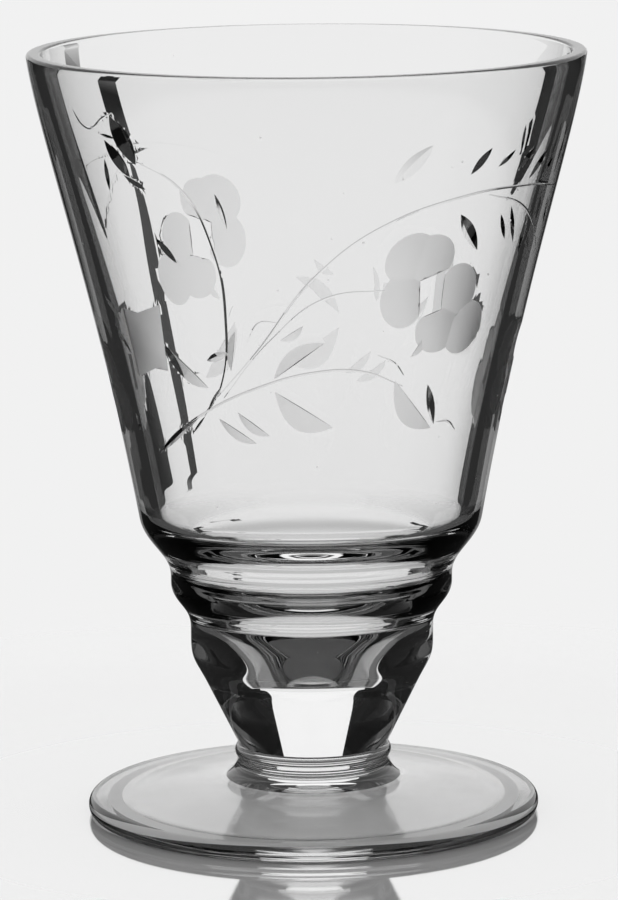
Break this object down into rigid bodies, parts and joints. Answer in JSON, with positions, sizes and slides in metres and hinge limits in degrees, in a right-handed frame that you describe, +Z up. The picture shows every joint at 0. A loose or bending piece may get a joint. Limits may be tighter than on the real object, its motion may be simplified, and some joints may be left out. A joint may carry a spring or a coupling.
{
  "type": "juice glass",
  "caption": "Footed juice glass: a flared bowl with a cut floral spray on a tiered base, a solid tapered stem, a collar and a round disc foot, all in clear glass.",
  "frame": {"origin": "centre of the ring that the foot stands on", "axes": "+Z up along the glass's axis, out of the bowl's mouth; the cut spray's flower faces -Y"},
  "size_m": [0.07, 0.07, 0.0973],
  "materials": {
    "clear_glass": "clear, fire-polished"
  },
  "bodies": {
    "root": {"foot": "clear_glass", "collar": "clear_glass", "stem": "clear_glass", "bowl": "clear_glass"}
  },
  "joints": []
}
